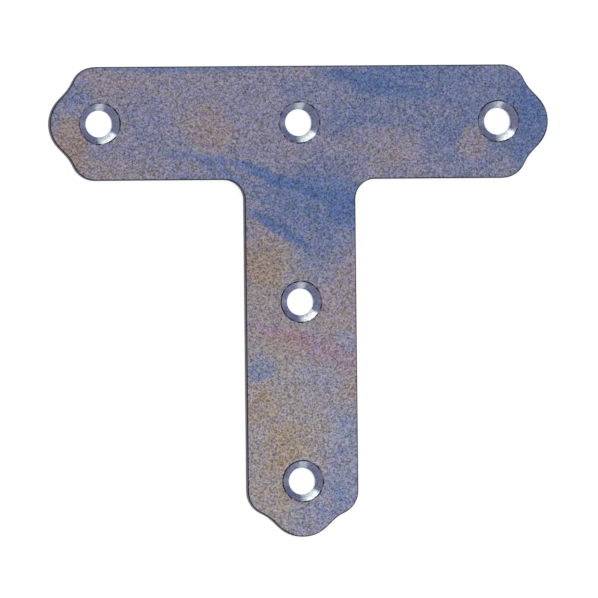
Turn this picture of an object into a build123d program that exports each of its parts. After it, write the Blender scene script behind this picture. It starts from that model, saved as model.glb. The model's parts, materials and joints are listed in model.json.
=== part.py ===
from build123d import *

import os
from math import cos, radians, tan

# Tee joining plate: a flat T of sheet steel, with five countersunk screw holes and shaped ends.
# It is blanked from the sheet in one stroke, its holes are punched, and they are countersunk
# from the face that the screw heads sit in. It is one piece, so it is one solid.
#
# Millimetres. The origin is the centre of the head's middle hole, on the flat back face.
# +X runs along the head, the stem runs towards -Y, and +Z points out of the countersunk face.

# Sheet
thickness = 2.5

# Head and stem, which are two bars of the same sheet
head_width = 22.5
stem_width = 22.2
inner_corner_radius = 4.0  # where the stem's sides run into the head

# Holes along the head's centre line and down the stem's, and the metal beyond the last of each
head_hole_pitch = 40.0
stem_hole_pitch = 35.5
head_end_distance = 10.0
stem_end_distance = 11.0

# Screw holes, for a countersunk wood screw
hole_diameter = 5.3
countersink_diameter = 8.1
countersink_angle = 90.0

# Shaped end of each bar: a round nose, then a hollow notch and a round shoulder on each side.
# The angles are those of the straight flanks, measured from square across the bar.
nose_radius = 6.75
nose_flank_angle = 44.0
notch_radius = 8.0
shoulder_flank_angle = 26.0
shoulder_radius = 4.8
shoulder_span = 4.25  # across the bar, from its side to the corner of the notch

# Edges: blanking rolls the edge of the show face, and tumbling takes the burr off the back one
die_roll_radius = 0.35
burr_chamfer = 0.12


def tangent_length(radius, turn):
    """How far a rounded corner that turns by this angle reaches along each straight beside it."""
    return radius * tan(radians(turn / 2))


def held_to(room, radius, turn):
    """A corner's radius, held to the room that the straight beside it leaves."""
    return min(radius, 0.98 * room / tan(radians(turn / 2)))


def shaped_end(tip, outward, bar_width):
    """The corners of one shaped end, and the radius of each, counter-clockwise round the plate."""
    notch_offset = bar_width / 2 - shoulder_span  # from the bar's centre line
    nose_turn = 2 * nose_flank_angle
    notch_turn = nose_flank_angle - shoulder_flank_angle
    shoulder_turn = 90 - shoulder_flank_angle

    # the notch takes its share of both flanks, and the nose and the shoulder have what is left
    nose_flank = notch_offset / cos(radians(nose_flank_angle))
    shoulder_flank = shoulder_span / cos(radians(shoulder_flank_angle))
    notch_share = tangent_length(notch_radius, notch_turn)
    nose = held_to(nose_flank - notch_share, nose_radius, nose_turn)
    shoulder = held_to(shoulder_flank - notch_share, shoulder_radius, shoulder_turn)

    # how far inward of the tip each corner lies: the flanks meet outside the nose's arc
    apex = -nose * (1 / cos(radians(nose_flank_angle)) - 1)
    notch_depth = apex + notch_offset * tan(radians(nose_flank_angle))
    shoulder_depth = notch_depth + shoulder_span * tan(radians(shoulder_flank_angle))

    across = outward.rotate(Axis.Z, -90)
    corners = [
        (bar_width / 2, shoulder_depth, shoulder),
        (notch_offset, notch_depth, notch_radius),
        (0, apex, nose),
        (-notch_offset, notch_depth, notch_radius),
        (-bar_width / 2, shoulder_depth, shoulder),
    ]
    return [(tip + across * side - outward * depth, radius) for side, depth, radius in corners]


head_reach = head_hole_pitch + head_end_distance  # from the middle of the head to each tip
stem_reach = 2 * stem_hole_pitch + stem_end_distance  # from the head's hole line to the stem's tip

outline = [
    *shaped_end(Vector(-head_reach, 0), Vector(-1, 0), head_width),
    (Vector(-stem_width / 2, -head_width / 2), inner_corner_radius),
    *shaped_end(Vector(0, -stem_reach), Vector(0, -1), stem_width),
    (Vector(stem_width / 2, -head_width / 2), inner_corner_radius),
    *shaped_end(Vector(head_reach, 0), Vector(1, 0), head_width),
]

hole_centres = [
    (-head_hole_pitch, 0),
    (0, 0),
    (head_hole_pitch, 0),
    (0, -stem_hole_pitch),
    (0, -2 * stem_hole_pitch),
]

with BuildPart() as tee_plate:
    with BuildSketch():
        with BuildLine():
            FilletPolyline(
                [corner for corner, _ in outline],
                radius=[radius for _, radius in outline],
                close=True,
            )
        make_face()
    extrude(amount=thickness)

    back_face, *_, show_face = tee_plate.faces().filter_by(Axis.Z).sort_by(Axis.Z)
    fillet(show_face.outer_wire().edges(), radius=die_roll_radius)
    chamfer(back_face.outer_wire().edges(), length=burr_chamfer)

    with Locations(*[(x, y, thickness) for x, y in hole_centres]):
        CounterSinkHole(
            radius=hole_diameter / 2,
            counter_sink_radius=countersink_diameter / 2,
            counter_sink_angle=countersink_angle,
        )

tee_plate.part.label = "tee_plate"

os.makedirs("parts", exist_ok=True)
export_step(tee_plate.part, "parts/tee_plate.step")
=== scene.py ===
import json
import math

import bpy
from mathutils import Matrix, Vector


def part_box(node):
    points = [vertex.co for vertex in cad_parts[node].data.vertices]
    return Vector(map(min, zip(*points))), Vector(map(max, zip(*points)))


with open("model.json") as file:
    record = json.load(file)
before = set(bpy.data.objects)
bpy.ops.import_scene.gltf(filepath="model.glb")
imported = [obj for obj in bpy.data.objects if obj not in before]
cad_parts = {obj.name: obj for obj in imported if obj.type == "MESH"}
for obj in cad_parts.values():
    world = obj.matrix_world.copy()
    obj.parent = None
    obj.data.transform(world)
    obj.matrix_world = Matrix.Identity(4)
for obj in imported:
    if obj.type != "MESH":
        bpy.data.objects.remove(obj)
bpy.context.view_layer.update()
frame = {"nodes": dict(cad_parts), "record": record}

# ---------------------------------------------------------------------------------------------
# Tee plate: one flat blank of cold-rolled steel sheet, blanked, punched and countersunk, then
# zinc plated and passivated. It is a single piece, and its solid stays as the CAD made it.
# ---------------------------------------------------------------------------------------------
plate = frame["nodes"]["tee_plate"]
plate_low, plate_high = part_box("tee_plate")
mm_in_metre = 1000.0

# each right-angled countersink starts from a straight bore, and its radius grows by its depth
screw_holes = [mount for mount in frame["record"]["mounts"] if mount["kind"] == "bore"]
bore = screw_holes[0]["dims"]
thickness = (plate_high[2] - plate_low[2]) * mm_in_metre
rim_radius = bore["r_mm"] + thickness - bore["length_mm"]
cone_slant = math.sqrt(0.5)  # how far the cone's normal leans to the hole's axis


def srgb(code):
    """A hex colour as linear red, green and blue, with an alpha of one."""
    parts = [int(code[i : i + 2], 16) / 255 for i in (1, 3, 5)]
    return (*[p / 12.92 if p <= 0.04045 else ((p + 0.055) / 1.055) ** 2.4 for p in parts], 1.0)


def add(tree, kind, inputs, output=0, **settings):
    """Adds a shader node with its settings and its inputs' values or links, and returns an output."""
    node = tree.nodes.new("ShaderNode" + kind)
    for name, value in settings.items():
        setattr(node, name, value)
    for name, value in inputs.items():
        if isinstance(value, bpy.types.NodeSocket):
            tree.links.new(value, node.inputs[name])
        else:
            node.inputs[name].default_value = value
    return node.outputs[output] if node.outputs else None


def new_material(name):
    """A material with an empty node tree."""
    material = bpy.data.materials.new(name)
    material.use_nodes = True
    material.node_tree.nodes.clear()
    return material


def set_ramp(socket, stops):
    """Gives the colour ramp behind a socket its stops, as (place, hex colour)."""
    elements = socket.node.color_ramp.elements
    for _ in stops[2:]:
        elements.new(0.5)
    for element, (place, code) in zip(elements, stops):
        element.position, element.color = place, srgb(code)


def passivated_zinc():
    """Zinc plate under a chromate passivate: satin metal with a thin clear film on it, blue where the
    film is thick and straw to rose where it ran off thin. The blanked edges carry painted shade and
    are rougher, and the countersinks are smoother, because they are cut, and carry painted highlights."""
    material = new_material("passivated_zinc_plate")
    tree = material.node_tree

    # places on the plate in millimetres, so the scale of a pattern is its repeats to the millimetre
    object_place = add(tree, "TexCoord", {}, "Object")
    place = add(tree, "VectorMath", {0: object_place, "Scale": mm_in_metre}, operation="SCALE")
    x = add(tree, "SeparateXYZ", {0: place}, "X")
    y = add(tree, "SeparateXYZ", {0: place}, "Y")
    normal = add(tree, "TexCoord", {}, "Normal")
    facing_up = add(tree, "SeparateXYZ", {0: normal}, "Z")
    flatness = add(tree, "Math", {0: facing_up}, operation="ABSOLUTE")  # one on a face, nought on a wall
    on_face = add(tree, "CombineXYZ", {0: x, 1: y})

    # The film ran off slowly while the plate hung, so its fields have soft, wandering borders.
    # Each is (x, y, half length, half width, turn in degrees, straw), in millimetres on the plate:
    # above nought the film is thinner there and shows straw to rose, and below it is thicker and blue.
    pools = [
        (29, 2, 36, 17, 0, -0.82),  # right of the head
        (48, -1, 9, 15, 0, -0.65),
        (15, 7.5, 14, 2.6, -13, -0.70),
        (20, 10.5, 14, 2.5, 0, -0.40),
        (24, 1.5, 11, 3.5, 0, 0.30),
        (15, -5.5, 12, 6, 0, 0.60),
        (20, -4.5, 6, 5, 0, 0.50),
        (25, -8.5, 5, 3, 0, 0.45),
        (34.5, -4, 4.5, 4.5, 0, 1.30),
        (8, -8.5, 9, 4, 0, -0.50),
        (9, -16, 5, 7, 0, -0.50),
        (0, 6.5, 7, 3.5, 0, -0.35),
        (3, -16, 18, 9, -12, -1.05),  # where the stem meets the head
        (4, -27, 6, 7, 0, -0.65),
        (-20, -10.4, 11, 2.4, 0, -0.40),  # left of the head
        (-31, 1, 6, 6, 0, -0.35),
        (-45, 5.5, 5, 4.0, 0, -0.55),
        (-46, -4, 6, 7, 0, 1.30),
        (-37, -10, 12, 4, -4, 0.60),
        (-38, 8.5, 11, 4, 0, 0.40),
        (-18, -0.3, 7, 6.5, 0, 0.90),
        (-7.5, -27, 7, 8, 0, 0.90),  # down the stem
        (-3, -43.5, 7, 3.5, 0, 0.45),
        (9.5, -43, 3, 3, 0, -0.60),
        (4, -51, 7, 4.5, 0, -0.45),
        (10, -54, 4, 5, 0, 0.50),
        (-8.6, -49.0, 3.6, 3.0, 0, -1.20),
        (-8.7, -55.5, 4.5, 5.5, 0, 0.60),
        (-4, -64, 6.5, 7, 0, 0.60),
        (-6, -73, 6, 7, 0, 0.40),
        (9, -68, 6, 17, 0, -0.90),
        (5, -75, 6, 6, 0, -0.60),
        (2, -81, 10, 6, 0, -0.80),
    ]
    # Lines that it ran down in, which are narrow and hardly wander.
    runs = [
        (-20, -7.0, 12, 1.5, -10, -0.80),
        (-6.5, -10.6, 9, 1.7, -21, -1.10),
        (5, -14.6, 9, 1.9, -14, -0.80),
        (-4, -21.4, 10, 1.8, -31, -1.50),
        (-13, -11.2, 6, 0.9, -22, -0.60),
        (12, 8.6, 13, 1.4, -13, -0.60),
        (-24, 10.6, 26, 0.9, 0, -0.80),
    ]

    def spread(level, fields, ground):
        """Adds the strength of each field to a level, fading out towards the field's border."""
        for field_x, field_y, half_length, half_width, turn, strength in fields:
            local = add(tree, "Mapping", {"Vector": ground, "Location": (field_x, field_y, 0),
                                          "Rotation": (0, 0, math.radians(turn)),
                                          "Scale": (half_length, half_width, 1)}, vector_type="TEXTURE")
            spot = add(tree, "TexGradient", {"Vector": local}, "Fac", gradient_type="SPHERICAL")
            spot = add(tree, "MapRange", {0: spot, 1: 0.0, 2: 0.6}, interpolation_type="SMOOTHSTEP")
            level = add(tree, "Math", {0: spot, 1: strength, 2: level}, operation="MULTIPLY_ADD")
        return level

    # a border wanders in bends about 6 mm long, by up to 4 mm in the pools and 1.25 mm in the runs
    wander = add(tree, "TexNoise", {"Vector": place, "Scale": 0.16, "Detail": 5.0, "Roughness": 0.7},
                 "Color")
    wander = add(tree, "VectorMath", {0: wander, 1: (0.5, 0.5, 0.5)}, operation="SUBTRACT")
    wandering = add(tree, "VectorMath", {0: wander, 1: (8.0, 8.0, 0.0), 2: on_face},
                    operation="MULTIPLY_ADD")
    almost_straight = add(tree, "VectorMath", {0: wander, 1: (2.5, 2.5, 0.0), 2: on_face},
                          operation="MULTIPLY_ADD")

    # on the head the film is of middling thickness, and from the junction down it is thinner
    film = add(tree, "MapRange", {0: y, 1: -20.0, 2: -34.0, 3: 0.05, 4: 0.75},
               interpolation_type="SMOOTHSTEP")
    film = spread(film, pools, wandering)
    film = spread(film, runs, almost_straight)

    # cloudy drift between the fields, in clouds of 7, 2 and 0.6 mm, drawn out to twice that length
    # along the way the solution ran
    run_way = add(tree, "Mapping", {"Vector": place, "Rotation": (0, 0, math.radians(20)),
                                    "Scale": (0.5, 1.0, 1.0)})
    for scale, amount in ((0.14, 0.6), (0.55, 1.3), (1.7, 1.4)):
        cloud = add(tree, "TexNoise", {"Vector": run_way, "Scale": scale, "Detail": 3.0})
        level = add(tree, "Math", {0: cloud, 1: 0.5}, operation="SUBTRACT")
        film = add(tree, "Math", {0: level, 1: amount, 2: film}, operation="MULTIPLY_ADD")
    thickest, thinnest = -1.5, 1.5
    film = add(tree, "MapRange", {0: film, 1: thickest, 2: thinnest})
    tint = add(tree, "ValToRGB", {0: film})
    set_ramp(tint, [(0.00, "#586990"), (0.25, "#6c7491"), (0.50, "#7e7c8f"), (0.68, "#857e88"),
                    (0.80, "#887d82"), (1.00, "#8b7a75")])

    # interference mottle: patches of 1 to 2 mm that lean to violet, green or straw, with a rose run
    # line across the stem and more straw and olive along it
    mottle = add(tree, "TexNoise", {"Vector": place, "Scale": 0.75, "Detail": 3.0, "Roughness": 0.65})
    mottle = spread(mottle, [(2.5, -44.2, 17, 2.4, -22, -0.24), (-4, -62, 9, 24, 0, 0.08),
                             (-4, -32, 9, 14, 0, 0.06)], almost_straight)
    hues = add(tree, "ValToRGB", {0: mottle})
    set_ramp(hues, [(0.18, "#c2aca8"), (0.30, "#c4a8dc"), (0.42, "#b8b8d0"), (0.50, "#bcbcbc"),
                    (0.58, "#b4c4c0"), (0.70, "#ccc69c"), (0.90, "#c4c890")])
    tint = add(tree, "Mix", {0: 0.6, 6: tint, 7: hues}, 2, data_type="RGBA", blend_type="SOFT_LIGHT")

    # zinc crystals: a fine grain, in which each crystal has a shade of its own, over a softer grain of
    # half a millimetre. They are drawn wider than they are, so that the grain shows.
    crystal_width = 0.25
    crystals = add(tree, "TexVoronoi", {"Vector": place, "Scale": 1 / crystal_width}, "Color")
    crystals = add(tree, "SeparateXYZ", {0: crystals}, "X")
    grain = add(tree, "TexNoise", {"Vector": place, "Scale": 2.1, "Detail": 2.0, "Roughness": 0.7})
    shade = add(tree, "MapRange", {0: grain, 1: 0.25, 2: 0.75, 3: 0.0, 4: 1.0})
    shade = add(tree, "Math", {0: shade, 1: crystals}, operation="ADD")
    shade = add(tree, "MapRange", {0: shade, 2: 2.0, 3: 0.12, 4: 1.88})
    tint = add(tree, "VectorMath", {0: tint, "Scale": shade}, operation="SCALE")

    # down the stem the metal is paler by about a fifth, and the film on it is greener
    down_stem = add(tree, "MapRange", {0: y, 1: -12.0, 2: -66.0}, interpolation_type="SMOOTHSTEP")
    tint = add(tree, "Mix", {0: down_stem, 6: tint, 7: (1.19, 1.225, 1.18, 1.0)}, 2, data_type="RGBA",
               blend_type="MULTIPLY")

    # in or off a screw hole, by the distance from the nearest hole's axis, but for the back face,
    # which has no countersinks
    from_hole = mm_in_metre  # a metre off, until a hole is nearer
    for hole in screw_holes:
        axis_place = (hole["pos_m"][0] * mm_in_metre, hole["pos_m"][1] * mm_in_metre, 0.0)
        reach = add(tree, "VectorMath", {0: on_face, 1: axis_place}, "Value", operation="DISTANCE")
        from_hole = add(tree, "Math", {0: from_hole, 1: reach}, operation="MINIMUM")
    in_hole = add(tree, "MapRange", {0: from_hole, 1: rim_radius + 0.04, 2: rim_radius + 0.02})
    show_side = add(tree, "MapRange", {0: facing_up, 1: -0.6, 2: -0.4})
    in_hole = add(tree, "Math", {0: in_hole, 1: show_side}, operation="MULTIPLY")
    off_hole = add(tree, "Math", {0: 1.0, 1: in_hole}, operation="SUBTRACT")

    # blanked edge: painted shade, darkest on the rolled corner and greyer on the sheared wall, which
    # stands in for the dark and pale reflections there
    steep = add(tree, "MapRange", {0: flatness, 1: 0.985, 2: 0.72}, interpolation_type="SMOOTHSTEP")
    shaded_edge = add(tree, "Math", {0: steep, 1: off_hole}, operation="MULTIPLY")
    wall = add(tree, "MapRange", {0: flatness, 1: 0.35, 2: 0.05})
    # painted shade and reflection colours for the rolled corner and the sheared wall
    edge_painted_shade = add(tree, "Mix", {0: wall, 6: srgb("#1e1a26"), 7: srgb("#504c5a")}, 2, data_type="RGBA")
    tint = add(tree, "Mix", {0: shaded_edge, 6: tint, 7: edge_painted_shade}, 2, data_type="RGBA")

    # countersink: turned, with a slate violet film all round, and painted silver highlights on the
    # facets that face three given directions, over two of which the low softboxes also cast real
    # highlights.
    # Each is (azimuth in degrees, half width in degrees, how bright it is), and its border is blurred
    # from 5 degrees outside it to 3 degrees inside.
    painted_highlight = 0.0
    for azimuth, half_width, highlight_strength in ((-65, 30, 1.0), (89, 14, 0.55), (181, 13, 0.42)):
        inward = (-math.cos(math.radians(azimuth)), -math.sin(math.radians(azimuth)), 0.0)
        toward = add(tree, "VectorMath", {0: normal, 1: inward}, "Value", operation="DOT_PRODUCT")
        outer, inner = (cone_slant * math.cos(math.radians(half_width + blur)) for blur in (5, -3))
        patch = add(tree, "MapRange", {0: toward, 1: outer, 2: inner, 4: highlight_strength})
        painted_highlight = add(tree, "Math", {0: painted_highlight, 1: patch}, operation="MAXIMUM")
    # the violet film, turned to a painted silver highlight on the facets that face those directions
    turned = add(tree, "Mix", {0: painted_highlight, 6: srgb("#969ab6"), 7: srgb("#d4dada")}, 2, data_type="RGBA")
    blotch = add(tree, "MapRange", {0: grain, 1: 0.25, 2: 0.75, 3: 0.55, 4: 1.4})
    turned = add(tree, "VectorMath", {0: turned, "Scale": blotch}, operation="SCALE")
    tint = add(tree, "Mix", {0: in_hole, 6: tint, 7: turned}, 2, data_type="RGBA")

    # painted shade: a dark line, a quarter of a millimetre wide and patchy, round the countersink's rim
    rim_painted_shade = add(tree, "Math", {0: from_hole, 1: rim_radius + 0.02, 2: 0.13}, operation="COMPARE")
    patchy = add(tree, "MapRange", {0: mottle, 1: 0.40, 2: 0.58, 3: 0.25, 4: 1.0})
    rim_painted_shade = add(tree, "Math", {0: rim_painted_shade, 1: patchy}, operation="MULTIPLY")
    rim_painted_shade = add(tree, "Math", {0: rim_painted_shade, 1: show_side}, operation="MULTIPLY")
    # the dark painted shade line on the rim
    tint = add(tree, "Mix", {0: rim_painted_shade, 6: tint, 7: srgb("#16142a")}, 2, data_type="RGBA")

    # satin on the faces, smoother in the countersinks and rougher on the edge, in a very low relief
    roughness = add(tree, "MapRange", {0: grain, 1: 0.2, 2: 0.8, 3: 0.36, 4: 0.48})
    roughness = add(tree, "Mix", {0: in_hole, 2: roughness, 3: 0.28})
    roughness = add(tree, "Mix", {0: shaded_edge, 2: roughness, 3: 0.55})
    relief = add(tree, "Bump", {"Strength": 0.35, "Distance": 0.00002, "Height": grain})
    metal = add(tree, "BsdfPrincipled", {"Base Color": tint, "Metallic": 1.0, "Roughness": roughness,
                                         "Normal": relief})
    add(tree, "OutputMaterial", {"Surface": metal})
    return material


plate.data.materials.clear()
plate.data.materials.append(passivated_zinc())

# ---------------------------------------------------------------------------------------------
# Floor: a wide sheet of white card, which the plate lies flat on. It is clear from below, so that
# the plate's back face can be seen.
# ---------------------------------------------------------------------------------------------
hair_gap = 0.00005  # keeps the card's face apart from the plate's
bpy.ops.mesh.primitive_plane_add(size=20.0, location=(0, 0, plate_low[2] - hair_gap))
floor = bpy.context.object
floor.name = "floor"


def white_card():
    """White card, which the camera and the metal see as plain white, and which keeps its shadow."""
    material = new_material("white_card")
    tree = material.node_tree
    to_camera = add(tree, "LightPath", {}, "Is Camera Ray")
    to_metal = add(tree, "LightPath", {}, "Is Glossy Ray")
    seen = add(tree, "Math", {0: to_camera, 1: to_metal}, operation="MAXIMUM")
    lift = add(tree, "Math", {0: seen, 1: 0.76}, operation="MULTIPLY")
    paper = add(tree, "BsdfDiffuse", {"Color": srgb("#b4b4b4")})
    glow = add(tree, "Emission", {"Color": srgb("#ffffff"), "Strength": lift})
    card = add(tree, "AddShader", {0: paper, 1: glow})
    below = add(tree, "NewGeometry", {}, "Backfacing")
    clear = add(tree, "BsdfTransparent", {})
    card = add(tree, "MixShader", {0: below, 1: card, 2: clear})
    add(tree, "OutputMaterial", {"Surface": card})
    return material


floor.data.materials.append(white_card())

# ---------------------------------------------------------------------------------------------
# Light: a wide softbox overhead and an even grey studio light the faces, and two low softboxes
# reach into the countersinks.
# ---------------------------------------------------------------------------------------------
plate_centre = (Vector(plate_low) + Vector(plate_high)) / 2


def softbox(name, azimuth, elevation, distance, width, height, radiance):
    """A rectangular lamp that faces the plate, and that a mirror would show at this radiance. Its
    azimuth and elevation are in degrees, and the rest in metres."""
    lamp_data = bpy.data.lights.new(name, "AREA")
    lamp_data.shape, lamp_data.size, lamp_data.size_y = "RECTANGLE", width, height
    lamp_data.energy = radiance * math.pi * width * height
    lamp = bpy.data.objects.new(name, lamp_data)
    bpy.context.collection.objects.link(lamp)
    lamp.visible_camera = False
    around, above = math.radians(azimuth), math.radians(elevation)
    level = math.cos(above)
    away = Vector((math.cos(around) * level, math.sin(around) * level, math.sin(above)))
    lamp.location = plate_centre + away * distance
    lamp.rotation_euler = away.to_track_quat("Z", "Y").to_euler()


softbox("overhead", azimuth=0, elevation=90, distance=0.9, width=1.2, height=1.2, radiance=0.64)
softbox("upper_left", azimuth=113, elevation=17, distance=0.8, width=0.80, height=0.34, radiance=2.0)
softbox("front", azimuth=-84, elevation=15, distance=0.8, width=0.26, height=0.20, radiance=2.2)

world = bpy.data.worlds.new("studio")
bpy.context.scene.world = world
world.use_nodes = True
backdrop = world.node_tree.nodes["Background"]
backdrop.inputs["Color"].default_value = srgb("#ffffff")
backdrop.inputs["Strength"].default_value = 0.55

# ---------------------------------------------------------------------------------------------
# Camera: a long lens almost straight above, which leans a little to the plate's left.
# ---------------------------------------------------------------------------------------------
lean_left, lean_front, roll = (math.radians(angle) for angle in (9.5, 0.5, 0.59))
view_width = 0.11835  # metres across the view, at the plate
aim = Vector((-0.00048, -0.03494, plate_high[2]))  # on the show face

camera_data = bpy.data.cameras.new("camera")
camera_data.lens = 1000.0
camera_data.clip_end = 20.0
camera = bpy.data.objects.new("camera", camera_data)
bpy.context.collection.objects.link(camera)
back = Vector((-math.tan(lean_left), -math.tan(lean_front), 1.0)).normalized()
up = (Vector((0, 1, 0)) - back * back.y).normalized()
up.rotate(Matrix.Rotation(-roll, 3, back))
turned = Matrix((up.cross(back), up, back)).transposed().to_4x4()
stand = aim + back * (view_width * camera_data.lens / camera_data.sensor_width)
camera.matrix_world = Matrix.Translation(stand) @ turned
bpy.context.scene.camera = camera
bpy.context.scene.view_settings.view_transform = "Standard"
